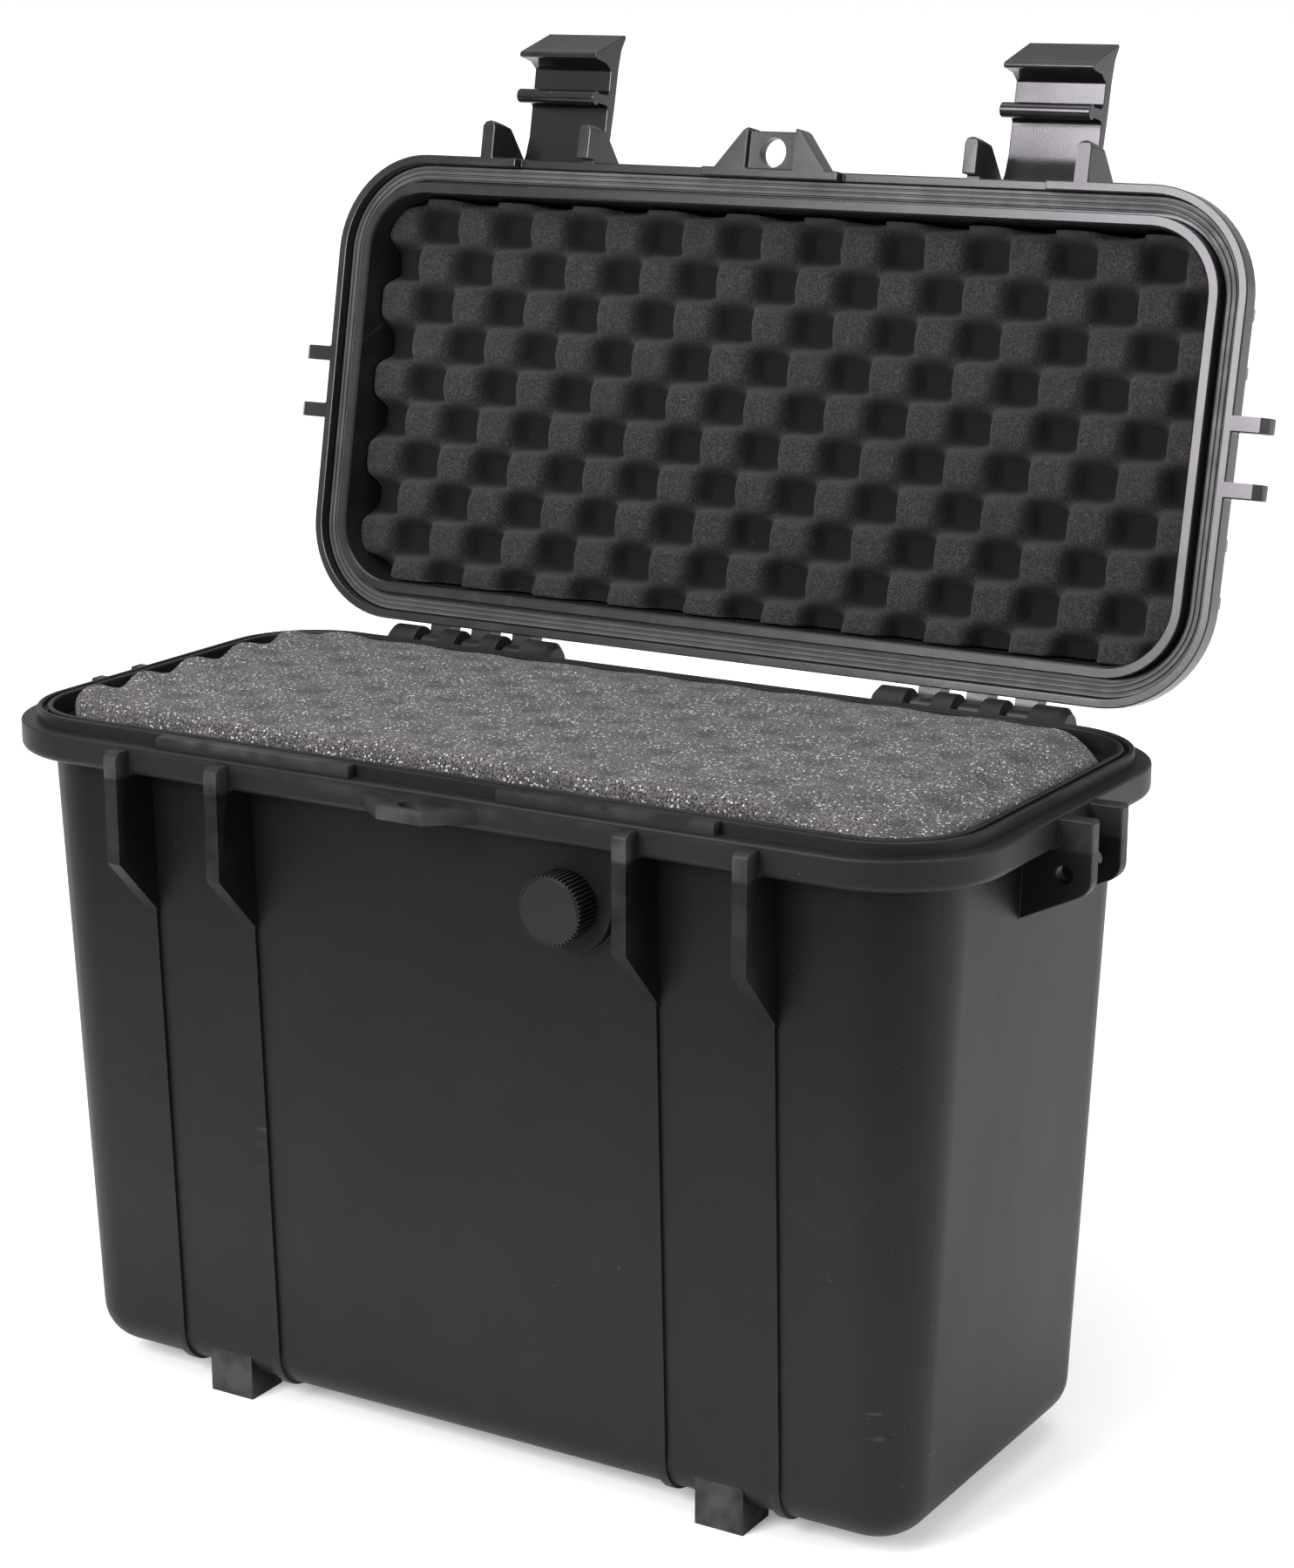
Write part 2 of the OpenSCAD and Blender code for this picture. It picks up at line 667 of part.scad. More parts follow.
// One block of the stack, drawn small enough for the tub at its lower face
module foam_block(level) {
    low_z = base_pad_z + base_pad_height + part_gap + level * (block_height + part_gap);
    color("#45423f") in_case() translate([0, 0, low_z]) difference() {
        rounded_block(wall_r_at(low_z) - wall - 1, block_height);
        translate([-pocket[0] / 2, -pocket[1] / 2, -1])
            cube([pocket[0], pocket[1], block_height + 2]);
    }
}

module foam_upper() { foam_block(2); }
module foam_middle() { foam_block(1); }
module foam_lower() { foam_block(0); }

module foam_base_pad() {
    color("#45423f") in_case() translate([0, 0, base_pad_z])
        rounded_block(bottom_arc_r + 2.8, base_pad_height);
}

tub_shell();
lid_shell();
lid_gasket();
hinge_pin_left();
hinge_pin_right();
latch_left();
latch_right();
latch_pin_left();
latch_pin_right();
valve_knob();
valve_stem();
valve_o_ring();
valve_insert();
handle();
handle_pin_left();
handle_pin_right();
lid_foam();
foam_top_sheet();
foam_upper();
foam_middle();
foam_lower();
foam_base_pad();
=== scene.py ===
"""Looks for the hard equipment case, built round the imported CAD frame. Metres, in the row frame."""

import json
import math

import bmesh
import bpy
import numpy as np
from mathutils import Matrix, Vector, noise
from mathutils.bvhtree import BVHTree
from mathutils.geometry import area_tri


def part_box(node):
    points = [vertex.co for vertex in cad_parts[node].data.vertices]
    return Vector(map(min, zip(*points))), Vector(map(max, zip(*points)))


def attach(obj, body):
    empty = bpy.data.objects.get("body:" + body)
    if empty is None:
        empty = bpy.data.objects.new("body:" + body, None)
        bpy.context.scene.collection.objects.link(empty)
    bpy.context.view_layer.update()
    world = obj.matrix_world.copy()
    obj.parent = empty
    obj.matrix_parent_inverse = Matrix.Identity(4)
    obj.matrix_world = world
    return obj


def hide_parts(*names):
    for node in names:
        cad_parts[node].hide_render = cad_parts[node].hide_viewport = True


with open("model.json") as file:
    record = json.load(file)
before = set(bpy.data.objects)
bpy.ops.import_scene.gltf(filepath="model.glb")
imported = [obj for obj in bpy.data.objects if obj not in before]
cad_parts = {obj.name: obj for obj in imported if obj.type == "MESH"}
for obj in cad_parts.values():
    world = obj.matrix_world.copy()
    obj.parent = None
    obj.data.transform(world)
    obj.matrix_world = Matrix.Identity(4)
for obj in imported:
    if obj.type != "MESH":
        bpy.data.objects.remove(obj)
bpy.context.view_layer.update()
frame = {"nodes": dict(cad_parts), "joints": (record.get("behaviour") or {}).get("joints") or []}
scene = bpy.context.scene
joints = {j["name"]: j for j in frame["joints"]}

# The tub stands forward of the origin, half a lid behind it, so its own middle gives its place.
tub_low, tub_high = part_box("foam_top_sheet")
TUB_Y = (tub_low[1] + tub_high[1]) / 2

# Height of the seam between the shut lid and the tub.
SEAM_Z = 0.2622

# Points of a solid's mesh that are closer than this are one point.
SAME_POINT = 2e-6

# Flat faces that were cut into triangles turn by less than this at their joins.
FLAT_DEGREES = 0.5

# Rounding ends cleanly where each unrounded edge leaves the rounded one at an angle between these.
CLEAN_END_DEGREES = (25, 150)

# A face needs this many times the rounding's width on each side of an edge.
ROOM_FOR_ROUNDING = 2.2

# Tries at a solid's rounding before it is left as it is.
ROUNDING_TRIES = 12

# The longest edge in the cut faces of a foam block.
BLOCK_EDGE = 0.011


# Camera ---------------------------------------------------------------------


def add_camera():
    """A long lens from the right and above, turned slightly, as the case was seen."""
    azimuth = math.radians(32.27)
    elevation = math.radians(15.575)
    roll = math.radians(-0.31)
    distance = 1.2659
    target = Vector((0, TUB_Y, 0.2179))
    back = Vector(
        (
            math.sin(azimuth) * math.cos(elevation),
            -math.cos(azimuth) * math.cos(elevation),
            math.sin(elevation),
        )
    )
    right = Vector((0, 0, 1)).cross(back).normalized()
    up = back.cross(right)
    turned_right = right * math.cos(roll) + up * math.sin(roll)
    turned_up = up * math.cos(roll) - right * math.sin(roll)
    place = target + back * distance
    camera = bpy.data.objects.new("camera", bpy.data.cameras.new("camera"))
    scene.collection.objects.link(camera)
    camera.matrix_world = Matrix(
        (
            (turned_right.x, turned_up.x, back.x, place.x),
            (turned_right.y, turned_up.y, back.y, place.y),
            (turned_right.z, turned_up.z, back.z, place.z),
            (0, 0, 0, 1),
        )
    )
    camera.data.sensor_width = 36
    camera.data.lens = 77.8155
    camera.data.shift_x = 0.0490
    camera.data.shift_y = 0.0413
    camera.data.clip_end = 50
    scene.camera = camera


add_camera()


# Node materials ---------------------------------------------------------------


class Shader:
    """A material with one principled shader, and short calls that add nodes to it."""

    def __init__(self, name):
        self.material = bpy.data.materials.new(name)
        self.material.use_nodes = True
        self.tree = self.material.node_tree
        self.surface = self.tree.nodes["Principled BSDF"]
        self.coords = self.add("ShaderNodeTexCoord").outputs["Object"]

    def add(self, kind, **settings):
        node = self.tree.nodes.new(kind)
        for key, value in settings.items():
            setattr(node, key, value)
        return node

    def link(self, source, target):
        self.tree.links.new(source, target)

    def stretched(self, scale):
        mapping = self.add("ShaderNodeMapping")
        mapping.inputs["Scale"].default_value = scale
        self.link(self.coords, mapping.inputs["Vector"])
        return mapping.outputs["Vector"]

    def noise(self, scale, detail=2.0, roughness=0.5, vector=None):
        node = self.add("ShaderNodeTexNoise")
        self.link(vector or self.coords, node.inputs["Vector"])
        node.inputs["Scale"].default_value = scale
        node.inputs["Detail"].default_value = detail
        node.inputs["Roughness"].default_value = roughness
        return node.outputs["Fac"]

    def cells(self, scale, feature="F1", output="Distance", randomness=1.0):
        node = self.add("ShaderNodeTexVoronoi", feature=feature)
        self.link(self.coords, node.inputs["Vector"])
        node.inputs["Scale"].default_value = scale
        node.inputs["Randomness"].default_value = randomness
        return node.outputs[output]

    def ramp(self, value, low, high, from_value=0.0, to_value=1.0):
        """value mapped from low..high to from_value..to_value, and held there."""
        node = self.add("ShaderNodeMapRange")
        self.link(value, node.inputs["Value"])
        node.inputs["From Min"].default_value = low
        node.inputs["From Max"].default_value = high
        node.inputs["To Min"].default_value = from_value
        node.inputs["To Max"].default_value = to_value
        return node.outputs["Result"]

    def math(self, operation, a, b=None):
        node = self.add("ShaderNodeMath", operation=operation)
        for socket, value in zip(node.inputs, (a, b)):
            if value is None:
                continue
            if isinstance(value, (int, float)):
                socket.default_value = value
            else:
                self.link(value, socket)
        return node.outputs["Value"]

    def mix(self, factor, a, b):
        """Colour a where factor is 0 and b where it is 1."""
        node = self.add("ShaderNodeMix", data_type="RGBA")
        self.link(factor, node.inputs["Factor"])
        for socket, value in ((node.inputs["A"], a), (node.inputs["B"], b)):
            if isinstance(value, tuple):
                socket.default_value = (*value, 1)
            else:
                self.link(value, socket)
        return node.outputs["Result"]

    def bump(self, height, distance, strength=1.0, normal=None):
        node = self.add("ShaderNodeBump")
        self.link(height, node.inputs["Height"])
        node.inputs["Distance"].default_value = distance
        node.inputs["Strength"].default_value = strength
        if normal:
            self.link(normal, node.inputs["Normal"])
        return node.outputs["Normal"]

    def colour(self, value):
        self.link(value, self.surface.inputs["Base Color"])

    def roughness(self, value):
        self.link(value, self.surface.inputs["Roughness"])

    def normal(self, value):
        self.link(value, self.surface.inputs["Normal"])

    def set(self, socket, value):
        self.surface.inputs[socket].default_value = value


def grey(level, warmth=0.0):
    """A near-neutral colour of that linear level."""
    return (level * (1 + warmth), level, level)


def moulded_plastic(name, level, rough, specular, wear=0.5, grain=1.0, flow=0.5, painted_height_shade=False):
    """Black moulded plastic: fine matt skin, flow clouds, weld lines, scuffs and rubbed edges, and on
    request painted shade by height.
    """
    s = Shader(name)
    clouds = s.noise(19, 4, 0.6)
    streaks = s.noise(6, 5, 0.62, s.stretched((1, 1, 0.35)))
    base = s.mix(s.ramp(clouds, 0.3, 0.72), grey(level * 0.86), grey(level * 1.16, 0.02))
    # Weld lines: thin paler contours of a slow noise.
    weld = s.noise(7.5, 1.5, 0.4)
    on_line = s.ramp(s.math("ABSOLUTE", s.math("SUBTRACT", weld, 0.5)), 0.0, 0.0035, 1.0, 0.0)
    patch = s.ramp(s.noise(11, 1), 0.52, 0.62)
    lines = s.math("MULTIPLY", on_line, s.math("MULTIPLY", patch, flow))
    base = s.mix(lines, base, grey(level * 1.9 + 0.01))
    # Short scuffs and rubbed edges.
    scratch = s.noise(120, 2, 0.5, s.stretched((0.08, 1, 1.9)))
    scuffed = s.math(
        "MULTIPLY", s.ramp(scratch, 0.7, 0.74), s.ramp(s.noise(16, 2), 0.5, 0.64)
    )
    edge = s.ramp(s.add("ShaderNodeNewGeometry").outputs["Pointiness"], 0.53, 0.62)
    edge = s.math("MULTIPLY", edge, s.ramp(s.noise(70, 3), 0.35, 0.62))
    worn = s.math("MULTIPLY", s.math("MAXIMUM", edge, s.math("MULTIPLY", scuffed, 0.6)), wear)
    base = s.mix(worn, base, grey(level * 2.6 + 0.035))
    # Dust: sparse fine pale specks.
    speck = s.ramp(s.cells(430), 0.1, 0.05)
    dust = s.math("MULTIPLY", speck, s.ramp(s.noise(60, 2), 0.62, 0.7))
    base = s.mix(s.math("MULTIPLY", dust, 0.5), base, grey(0.2))
    s.colour(base)
    uneven = s.math("ADD", s.ramp(streaks, 0.35, 0.65, -0.045, 0.045), rough)
    s.roughness(s.math("ADD", uneven, s.math("MULTIPLY", worn, -0.08)))
    slow = s.bump(s.noise(24, 2, 0.4), 0.0009, 0.35)
    skin = s.bump(s.noise(1700, 2, 0.6), 0.00006, 0.5 * grain, slow)
    s.normal(skin)
    s.set("Specular IOR Level", specular)
    s.set("Specular Tint", (1.0, 0.95, 1.02, 1))
    if painted_height_shade:
        # Painted shade: the base darkens up the walls, standing in for less bright floor mirrored
        # higher up, and the band above is painted paler, a painted highlight.
        split = s.add("ShaderNodeSeparateXYZ")
        s.link(s.coords, split.inputs[0])
        painted_wall_shade = s.ramp(split.outputs["Z"], 0.07, 0.245, 1.4, 0.42)
        painted_band_highlight = s.ramp(split.outputs["Z"], 0.2496, 0.2512, 0.0, 1.35)
        shade = s.math("MAXIMUM", painted_wall_shade, painted_band_highlight)
        dimmed = s.add("ShaderNodeVectorMath", operation="SCALE")
        s.link(base, dimmed.inputs[0])
        s.link(shade, dimmed.inputs["Scale"])
        s.colour(dimmed.outputs["Vector"])
    return s.material


def open_cell_foam(name, level, painted_glint_share, contrast=0.75, painted_hollow_shade=0.0):
    """Open-cell foam: dark pores, paler struts, painted glints on some of them, and painted shade
    down in each hollow.
    """
    s = Shader(name)
    pores = s.cells(1250)
    fine = s.noise(1500, 3, 0.7)
    grain = s.math("ADD", s.math("MULTIPLY", pores, 0.9), s.math("MULTIPLY", fine, 0.55))
    clouds = s.noise(34, 3, 0.55)
    tone = s.ramp(grain, 0.52, 0.86)
    base = s.mix(tone, grey(level * (1 - contrast), 0.06), grey(level * (1 + contrast), 0.09))
    base = s.mix(s.ramp(clouds, 0.35, 0.7, 0.0, 0.35), base, grey(level * 0.72, 0.02))
    mottle = s.ramp(s.noise(560, 2, 0.7), 0.42, 0.62, 0.0, 0.5)
    base = s.mix(mottle, base, grey(level * 0.4, 0.09))
    # Painted glints: small pale dots on a share of the cells, standing in for light caught by the
    # struts.
    lit = s.ramp(s.cells(900, output="Color"), 1 - painted_glint_share, 1 - painted_glint_share * 0.6)
    dot = s.ramp(s.cells(900), 0.46, 0.3)
    base = s.mix(s.math("MULTIPLY", s.math("MULTIPLY", lit, dot), 0.7), base, grey(0.7))
    # Painted shade: the foam is darkened down in each hollow, by the stored depth.
    hollow = s.add("ShaderNodeAttribute", attribute_name="hollow").outputs["Fac"]
    base = s.mix(s.math("MULTIPLY", hollow, painted_hollow_shade), base, grey(level * 0.17, 0.06))
    s.colour(base)
    rough = s.bump(clouds, 0.0012, 0.5)
    s.normal(s.bump(grain, 0.0005, 0.7, rough))
    s.set("Roughness", 0.92)
    s.set("Specular IOR Level", 0.18)
    s.set("Sheen Weight", 0.06)
    s.set("Sheen Roughness", 0.6)
    return s.material


def seal_rubber(name):
    s = Shader(name)
    base = s.mix(s.ramp(s.noise(60, 4, 0.6), 0.35, 0.7), grey(0.045), grey(0.07, 0.02))
    dust = s.math(
        "MULTIPLY", s.ramp(s.cells(700), 0.12, 0.06), s.ramp(s.noise(90, 2), 0.55, 0.65)
    )
    s.colour(s.mix(dust, base, grey(0.16)))
    s.roughness(s.ramp(s.noise(140, 3), 0.3, 0.7, 0.42, 0.58))
    s.normal(s.bump(s.noise(900, 2), 0.00006, 0.4))
    s.set("Specular IOR Level", 0.4)
    return s.material


def metal(name, colour, rough, axis_scale):
    """Turned metal, with fine rings along its length."""
    s = Shader(name)
    rings = s.noise(420, 2, 0.5, s.stretched(axis_scale))
    tint = s.noise(150, 3, 0.6)
    darker = tuple(c * 0.72 for c in colour)
    s.colour(s.mix(s.ramp(tint, 0.35, 0.7), colour, darker))
    s.roughness(s.ramp(rings, 0.3, 0.7, rough - 0.07, rough + 0.1))
    s.normal(s.bump(rings, 0.00004, 0.5))
    s.set("Metallic", 1.0)
    return s.material


# The tub's walls get painted shade by height, and its band a painted highlight.
TUB = moulded_plastic("tub_plastic", 0.0070, 0.44, 0.18, flow=0.15, painted_height_shade=True)
LID = moulded_plastic("lid_plastic", 0.011, 0.28, 0.42, wear=0.7, flow=0.8)
LATCH = moulded_plastic("latch_plastic", 0.006, 0.20, 0.5, wear=0.7, flow=0.4)
KNOB = moulded_plastic("knob_plastic", 0.008, 0.4, 0.3, wear=0.8, grain=1.4)
GASKET = seal_rubber("seal_rubber")
FOAM_LID = open_cell_foam("lid_foam", 0.022, 0.012, 0.6, painted_hollow_shade=0.95)
FOAM_TOP = open_cell_foam("top_foam", 0.064, 0.34, 1.0, painted_hollow_shade=0.62)
FOAM_IN = open_cell_foam("block_foam", 0.05, 0.02)
STEEL = metal("pin_steel", (0.55, 0.55, 0.56), 0.3, (6, 1, 1))
BRASS = metal("brass", (0.72, 0.5, 0.2), 0.3, (1, 6, 1))


# Meshes ------------------------------------------------------------------------


def new_object(name, verts, faces, material, smooth=True):
    mesh = bpy.data.meshes.new(name)
    mesh.from_pydata([tuple(v) for v in verts], [], [tuple(f) for f in faces])
    mesh.update()
    mesh.materials.append(material)
    mesh.polygons.foreach_set("use_smooth", [smooth] * len(mesh.polygons))
    obj = bpy.data.objects.new(name, mesh)
    scene.collection.objects.link(obj)
    return obj


def joined_faces(node):
    """A bmesh copy of a CAD solid, with its flat faces made whole again."""
    bm = bmesh.new()
    bm.from_mesh(frame["nodes"][node].data)
    bmesh.ops.remove_doubles(bm, verts=bm.verts[:], dist=SAME_POINT)
    bmesh.ops.dissolve_limit(
        bm, angle_limit=math.radians(FLAT_DEGREES), verts=bm.verts[:], edges=bm.edges[:]
    )
    return bm


def clean_end(edge, vert, chosen):
    """Whether rounding can stop here: no unrounded neighbour runs on from it, or doubles back."""
    along = (edge.other_vert(vert).co - vert.co).normalized()
    least, most = CLEAN_END_DEGREES
    for face in edge.link_faces:
        for other in face.edges:
            if other is edge or other.index in chosen or vert not in other.verts:
                continue
            away = (other.other_vert(vert).co - vert.co).normalized()
            if not least < math.degrees(along.angle(away, 0)) < most:
                return False
    return True


def edges_to_round(bm, width, sharp):
    """Numbers of the sharp edges that have room on both faces and can be rounded to their ends."""
    chosen = set()
    for edge in bm.edges:
        if len(edge.link_faces) != 2 or edge.calc_face_angle(0) < sharp:
            continue
        length = max(edge.calc_length(), 1e-6)
        depth = min(f.calc_area() for f in edge.link_faces) / length
        if depth > width * ROOM_FOR_ROUNDING:
            chosen.add(edge.index)
    while True:
        dropped = {
            e.index
            for e in bm.edges
            if e.index in chosen and not all(clean_end(e, v, chosen) for v in e.verts)
        }
        if not dropped:
            return chosen
        chosen -= dropped


def spoilt(bm, surface, limit):
    """Corners of the faces that stray from the original surface, or that fold over themselves."""
    found = []
    spread = {}
    bm.faces.index_update()
    for loops in bm.calc_loop_triangles():
        corners = [loop.vert.co.copy() for loop in loops]
        number = loops[0].face.index
        spread[number] = spread.get(number, 0) + area_tri(*corners)
        probes = [(corners[k] + corners[k - 1]) / 2 for k in range(3)]
        probes += corners + [sum(corners, Vector()) / 3]
        if any(surface.find_nearest(p)[3] > limit for p in probes):
            found += corners
    for face in bm.faces:
        area = face.calc_area()
        if spread.get(face.index, 0) - area > max(8e-7, 0.005 * area):
            found += [v.co.copy() for v in face.verts]
    return found


def near_any(edge, points, reach):
    """Whether an edge passes within reach of any of the points."""
    start = np.array(edge.verts[0].co)
    run = np.array(edge.verts[1].co) - start
    place = np.clip((points - start) @ run / max(run @ run, 1e-12), 0, 1)
    return bool((np.linalg.norm(points - start - place[:, None] * run, axis=1) < reach).any())


def rounded(base, width, sharp, segments):
    """A copy with its sharp edges rounded, without the edges whose rounding would spoil a face."""
    surface = BVHTree.FromBMesh(base)
    chosen = edges_to_round(base, width, sharp)
    for _ in range(ROUNDING_TRIES):
        bm = base.copy()
        bm.edges.ensure_lookup_table()
        bmesh.ops.bevel(
            bm,
            geom=[bm.edges[k] for k in sorted(chosen)],
            offset=width,
            offset_type="OFFSET",
            segments=segments,
            profile=0.5,
            affect="EDGES",
            clamp_overlap=False,
            loop_slide=True,
        )
        bad = spoilt(bm, surface, width * 0.6 + 5e-5)
        if not bad:
            return bm
        bad = np.array(bad)
        spoiling = {
            e.index for e in base.edges if e.index in chosen and near_any(e, bad, width * 1.6)
        }
        bm.free()
        if not spoiling:
            break
        chosen -= spoiling
    print("not rounded cleanly")
    return base.copy()


def refined(node, name, body, material, width, angle=32.0, segments=2):
    """A copy of a CAD solid: flat faces joined, sharp edges rounded and shading evened."""
    sharp = math.radians(angle)
    base = joined_faces(node)
    base.edges.index_update()
    bm = rounded(base, width, sharp, segments)
    base.free()
    bmesh.ops.remove_doubles(bm, verts=bm.verts[:], dist=SAME_POINT)
    for edge in bm.edges:
        edge.smooth = len(edge.link_faces) == 2 and edge.calc_face_angle(0) < sharp
    bm.verts.index_update()
    verts = [v.co[:] for v in bm.verts]
    faces = [[v.index for v in f.verts] for f in bm.faces]
    sharp_pairs = {
        tuple(sorted((e.verts[0].index, e.verts[1].index))) for e in bm.edges if not e.smooth
    }
    bm.free()
    obj = new_object(name, verts, faces, material)
    flags = [tuple(sorted(e.vertices)) in sharp_pairs for e in obj.data.edges]
    attribute = obj.data.attributes.new("sharp_edge", "BOOLEAN", "EDGE")
    attribute.data.foreach_set("value", flags)
    weighted = obj.modifiers.new("even_shading", "WEIGHTED_NORMAL")
    weighted.keep_sharp = True
    weighted.weight = 60
    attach(obj, body)
    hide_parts(node)
    return obj


def lid_frame():
    """Takes shut-lid coordinates, with the height measured up from the seam, to the open lid."""
    hinge = joints["lid_hinge"]
    axis_place = Vector(hinge["pos_m"])
    opened = math.radians(hinge["range_deg"][1])
    turn = Matrix.Rotation(-opened, 4, "X")
    seam = Matrix.Translation((0, TUB_Y, SEAM_Z))
    return Matrix.Translation(axis_place) @ turn @ Matrix.Translation(-axis_place) @ seam


def slab(name, half_x, half_y, radii, top, back, step, edge_round, material, side=None):
    """A foam sheet in its own frame: a fine top face at height top(x, y), sides down to back, and
    a flat back face. radii are the corner radii at (-x, -y), (+x, -y), (+x, +y) and (-x, +y)."""
    nx = round(2 * half_x / step)
    ny = round(2 * half_y / step)
    corners = {(-1, -1): radii[0], (1, -1): radii[1], (1, 1): radii[2], (-1, 1): radii[3]}

    def placed(i, j, inset):
        x = -half_x + 2 * half_x * i / nx
        y = -half_y + 2 * half_y * j / ny
        sx = 1 if x >= 0 else -1
        sy = 1 if y >= 0 else -1
        r = corners[(sx, sy)]
        ax, ay = abs(x), abs(y)
        if ax > half_x - r and ay > half_y - r:
            u = (ax - half_x + r) / r
            v = (ay - half_y + r) / r
            ax = half_x - r + r * u * math.sqrt(1 - v * v / 2)
            ay = half_y - r + r * v * math.sqrt(1 - u * u / 2)
        scale_x = (half_x - inset) / half_x
        scale_y = (half_y - inset) / half_y
        return sx * ax * scale_x, sy * ay * scale_y

    verts = []
    index = {}
    for j in range(ny + 1):
        for i in range(nx + 1):
            x, y = placed(i, j, edge_round)
            index[(i, j)] = len(verts)
            verts.append((x, y, top(x, y)))
    faces = [
        (index[(i, j)], index[(i + 1, j)], index[(i + 1, j + 1)], index[(i, j + 1)])
        for j in range(ny)
        for i in range(nx)
    ]
    ring = (
        [(i, 0) for i in range(nx)]
        + [(nx, j) for j in range(ny)]
        + [(i, ny) for i in range(nx, 0, -1)]
        + [(0, j) for j in range(ny, 0, -1)]
    )
    previous = [index[key] for key in ring]
    # The rounded edge, then the side in a few bands, then the back.
    turns = (0.5, 1.05, 1.5708)
    rows = [(edge_round * (1 - math.sin(a)), edge_round * (1 - math.cos(a))) for a in turns]
    bands = 6
    for row in range(len(rows) + bands):
        current = []
        inset, drop = rows[row] if row < len(rows) else (0.0, edge_round)
        down = max(row - len(rows) + 1, 0) / bands
        for key in ring:
            x, y = placed(*key, inset)
            z = top(x, y) - drop
            z += (back - z) * down
            if side:
                x, y = side(x, y, z)
            current.append(len(verts))
            verts.append((x, y, z))
        count = len(ring)
        for k in range(count):
            n = (k + 1) % count
            faces.append((previous[n], previous[k], current[k], current[n]))
        previous = current
    faces.append(tuple(previous))
    return new_object(name, verts, faces, material)


# Hard pieces -------------------------------------------------------------------

refined("tub_shell", "tub", "case", TUB, 0.0007)
refined("lid_shell", "lid_moulding", "lid", LID, 0.0006)
refined("lid_gasket", "lid_seal", "lid", GASKET, 0.0002)
for side in ("left", "right"):
    refined("latch_" + side, "latch_lever_" + side, "latch_" + side, LATCH, 0.0005)
    refined("hinge_pin_" + side, "hinge_rod_" + side, "case", STEEL, 0.0003)
    refined("latch_pin_" + side, "latch_rod_" + side, "lid", STEEL, 0.0003)
    refined("handle_pin_" + side, "handle_rod_" + side, "lid", STEEL, 0.0003)
refined("valve_knob", "valve_knob_grip", "valve_knob", KNOB, 0.0002)
refined("valve_stem", "valve_spindle", "valve_knob", BRASS, 0.0002)
refined("valve_insert", "valve_bush", "case", BRASS, 0.0002)
refined("valve_o_ring", "valve_seal", "valve_carrier", GASKET, 0.0002)
refined("handle", "carry_handle", "handle", LATCH, 0.0015, segments=3)


# Foam --------------------------------------------------------------------------


def crate(x, s, centre_x, centre_s, pitch_x, pitch_s, fullness, lean=0.0):
    """Convoluted foam: 1 on a bump, about -1 in a hollow, in a chequer. lean widens the bumps."""
    wave = math.cos(2 * math.pi * (x - centre_x) / pitch_x)
    wave *= math.cos(math.pi * (s - centre_s) / pitch_s)
    return math.tanh(fullness * (wave + lean)) / math.tanh(fullness * (1 + lean))


def drift(x, y, seed, scale, amount):
    """A slow uneven wander, from -amount to amount."""
    return amount * noise.noise(Vector((x * scale, y * scale, seed)))


def ease(value):
    """0 below 0, 1 above 1, and a smooth step between."""
    t = min(max(value, 0.0), 1.0)
    return t * t * (3 - 2 * t)


def mark_hollows(obj, depth_of):
    """Stores how far down in a hollow each point lies, for the painted shade that darkens the foam
    there.
    """
    attribute = obj.data.attributes.new("hollow", "FLOAT", "POINT")
    attribute.data.foreach_set("value", [depth_of(v.co) for v in obj.data.vertices])


def add_lid_foam():
    """The convoluted sheet in the lid. Its bumps face out of the open lid."""
    face = 0.0108
    rise = 0.0062
    back = 0.0390
    low_y = -0.0797
    high_y = 0.0803
    shift = (low_y + high_y) / 2
    back_edge_y = 0.09635

    def bump_at(x, y):
        wx = x + drift(x, y, 3.1, 30, 0.0009)
        wy = y + drift(x, y, 8.4, 30, 0.0007)
        return crate(wx, back_edge_y - shift - wy, -0.1425, 0.1650, 0.0359, 0.0164, 4.5, 0.04)

    def top(x, y):
        return -(face + rise) + rise * bump_at(x, y) + drift(x, y, 5.7, 45, 0.0007)

    def side(x, y, z):
        """The sides follow the dish of the lid, and turn in at its rounded edge."""
        depth = -z
        inset = 0.0009 * depth / 0.030 + max(depth - 0.0300, 0) * 0.9
        return x - math.copysign(min(inset, abs(x)), x), y - math.copysign(min(inset, abs(y)), y)

    sheet = slab(
        "lid_egg_foam",
        0.1855,
        (high_y - low_y) / 2,
        (0.0215,) * 4,
        top,
        -back,
        0.00105,
        0.0008,
        FOAM_LID,
        side,
    )
    # Painted shade for the sheet's hollow parts, by depth below the bump tops.
    mark_hollows(sheet, lambda co: ease((-co.z - face - 0.0022) / (1.6 * rise)))
    flip = Matrix.Diagonal((1, 1, -1, 1))
    sheet.data.transform(lid_frame() @ Matrix.Translation((0, shift, 0)) @ flip)
    sheet.data.flip_normals()
    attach(sheet, "lid")
    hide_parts("lid_foam")
    return sheet


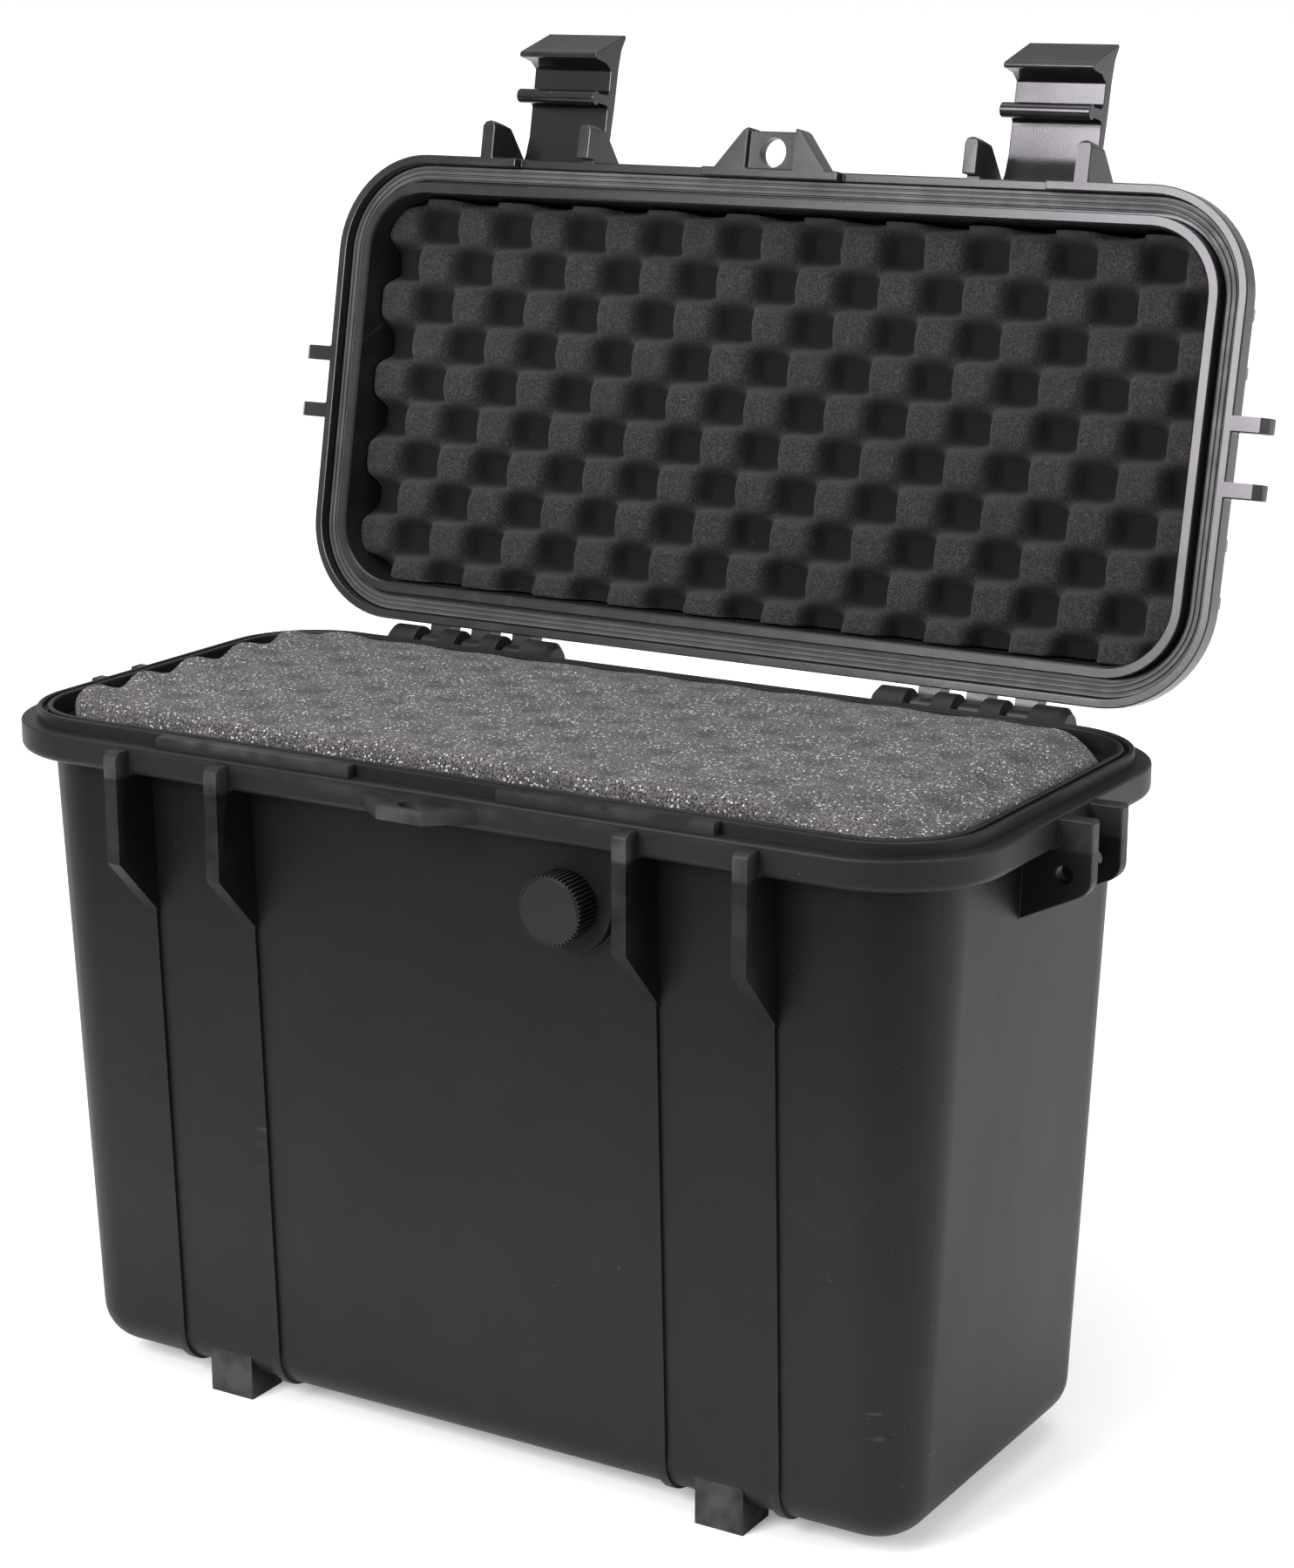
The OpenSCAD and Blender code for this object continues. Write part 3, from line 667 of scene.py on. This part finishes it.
def add_top_sheet():
    """The soft sheet that lies on the blocks, a little proud of the tub's rim."""
    low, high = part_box("foam_top_sheet")
    half_x = (high[0] - low[0]) / 2
    half_y = (high[1] - low[1]) / 2
    middle_x = (high[0] + low[0]) / 2

    def droop(x, y):
        """How far the right end and its front corner hang down, from 0 to 1."""
        end = ease((x - half_x + 0.026) / 0.026)
        corner = ease((x - half_x + 0.075) / 0.06) * ease((-y - half_y + 0.030) / 0.030)
        return max(end, corner)

    def bump_at(x, y):
        return crate(x + drift(x, y, 1.3, 22, 0.003), y, -half_x, -0.0700, 0.0365, 0.0163, 0.9)

    def top(x, y):
        near_left = ease((-x - half_x + 0.045) / 0.045)
        near_back = ease((y - half_y + 0.030) / 0.030)
        rise = 0.0006 + 0.0015 * near_left - 0.0004 * near_back
        level = high[2] - 0.0012 + rise * bump_at(x, y) + drift(x, y, 6.2, 18, 0.0005)
        return level - 0.0028 * near_back - 0.0070 * droop(x, y)

    radii = (0.004, 0.0250, 0.0250, 0.014)
    sheet = slab("top_foam_sheet", half_x, half_y, radii, top, low[2], 0.0018, 0.0038, FOAM_TOP)
    for v in sheet.data.vertices:
        # The front edge runs back a little towards the left corner.
        v.co.y += 0.0060 * ease((-v.co.x - half_x + 0.034) / 0.034) * ease(-v.co.y / half_y)
    # Painted shade in the faint dimples of the top sheet.
    mark_hollows(sheet, lambda co: ease(-0.8 * bump_at(co.x, co.y) - 0.05))
    sheet.data.transform(Matrix.Translation((middle_x, TUB_Y, 0)))
    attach(sheet, "case")
    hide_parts("foam_top_sheet")
    return sheet


def add_foam_block(node, name):
    """A solid block of the stack, with softened edges and an uneven cut face."""
    block = refined(node, name, "case", FOAM_IN, 0.002, segments=3)
    bm = bmesh.new()
    bm.from_mesh(block.data)
    bmesh.ops.triangulate(bm, faces=bm.faces[:])
    for _ in range(5):
        long_edges = [e for e in bm.edges if e.calc_length() > BLOCK_EDGE]
        if not long_edges:
            break
        bmesh.ops.subdivide_edges(bm, edges=long_edges, cuts=1)
        bmesh.ops.triangulate(bm, faces=[f for f in bm.faces if len(f.verts) > 3])
    for v in bm.verts:
        inward = Vector((v.co.x, v.co.y - TUB_Y, 0))
        if inward.length > 0:
            inward.normalize()
        v.co -= inward * (0.0004 + 0.0004 * noise.noise(v.co * 55))
    bm.to_mesh(block.data)
    bm.free()
    return block


add_lid_foam()
add_top_sheet()
add_foam_block("foam_upper", "foam_block_upper")
add_foam_block("foam_middle", "foam_block_middle")
add_foam_block("foam_lower", "foam_block_lower")
add_foam_block("foam_base_pad", "foam_pad_base")


# Stage and light ---------------------------------------------------------------


def add_floor():
    bpy.ops.mesh.primitive_plane_add(size=30, location=(0, 0, 0))
    floor = bpy.context.object
    floor.name = "floor"
    s = Shader("floor_paper")
    away = s.add("ShaderNodeVectorMath", operation="LENGTH")
    s.link(s.coords, away.inputs[0])
    place = s.add("ShaderNodeSeparateXYZ")
    s.link(s.coords, place.inputs[0])
    path = s.add("ShaderNodeLightPath")
    # The paper glows for camera rays, more further off, so it is seen evenly white; for reflected
    # rays it carries painted reflections.
    paper = s.mix(s.ramp(s.noise(2.5, 3), 0.3, 0.7), grey(0.86), grey(0.9))
    # Painted reflection: in front of the case the floor is painted dark for reflected rays only.
    in_front = s.ramp(place.outputs["Y"], -0.36, -0.72)
    painted_dark_reflection = s.math("MULTIPLY", path.outputs["Is Glossy Ray"], in_front)
    s.colour(s.mix(painted_dark_reflection, paper, grey(0.12)))
    s.set("Roughness", 0.9)
    s.set("Specular IOR Level", 0.1)
    far = s.ramp(away.outputs["Value"], 0.45, 1.3, 0.22, 0.75)
    glow = s.math("MULTIPLY", path.outputs["Is Camera Ray"], far)
    # Painted reflection: towards the back of the case the floor glows for reflected rays only.
    behind = s.ramp(place.outputs["Y"], -0.02, 0.14, 0.0, 0.5)
    glow = s.math("ADD", glow, s.math("MULTIPLY", path.outputs["Is Glossy Ray"], behind))
    s.link(glow, s.surface.inputs["Emission Strength"])
    s.set("Emission Color", (1, 1, 1, 1))
    floor.data.materials.append(s.material)


def area_light(name, place, target, size, energy):
    lamp = bpy.data.objects.new(name, bpy.data.lights.new(name, "AREA"))
    scene.collection.objects.link(lamp)
    lamp.data.shape = "RECTANGLE"
    lamp.data.size, lamp.data.size_y = size
    lamp.data.energy = energy
    lamp.location = place
    lamp.rotation_euler = (Vector(target) - Vector(place)).to_track_quat("-Z", "Y").to_euler()
    return lamp


def add_world():
    """An even pale studio: white where it is seen, and softer as a light."""
    world = bpy.data.worlds.new("studio")
    scene.world = world
    world.use_nodes = True
    nodes, links = world.node_tree.nodes, world.node_tree.links
    nodes.clear()
    seen = nodes.new("ShaderNodeBackground")
    seen.inputs["Color"].default_value = (1, 1, 1, 1)
    seen.inputs["Strength"].default_value = 1.0
    light = nodes.new("ShaderNodeBackground")
    light.inputs["Color"].default_value = (1, 1, 1, 1)
    light.inputs["Strength"].default_value = 0.62
    path = nodes.new("ShaderNodeLightPath")
    mix = nodes.new("ShaderNodeMixShader")
    out = nodes.new("ShaderNodeOutputWorld")
    links.new(path.outputs["Is Camera Ray"], mix.inputs["Fac"])
    links.new(light.outputs["Background"], mix.inputs[1])
    links.new(seen.outputs["Background"], mix.inputs[2])
    links.new(mix.outputs["Shader"], out.inputs["Surface"])


add_floor()
add_world()
area_light("softbox_top", (0.1, -0.1, 1.9), (0, 0, 0.2), (1.6, 1.6), 18)
area_light("softbox_right", (1.9, 0.3, 0.9), (0.1, 0, 0.3), (0.9, 1.4), 20)
area_light("softbox_front", (-0.24, -1.28, 0.88), (0.1, 0, 0.4), (0.7, 0.7), 26)
scene.view_settings.view_transform = "Standard"
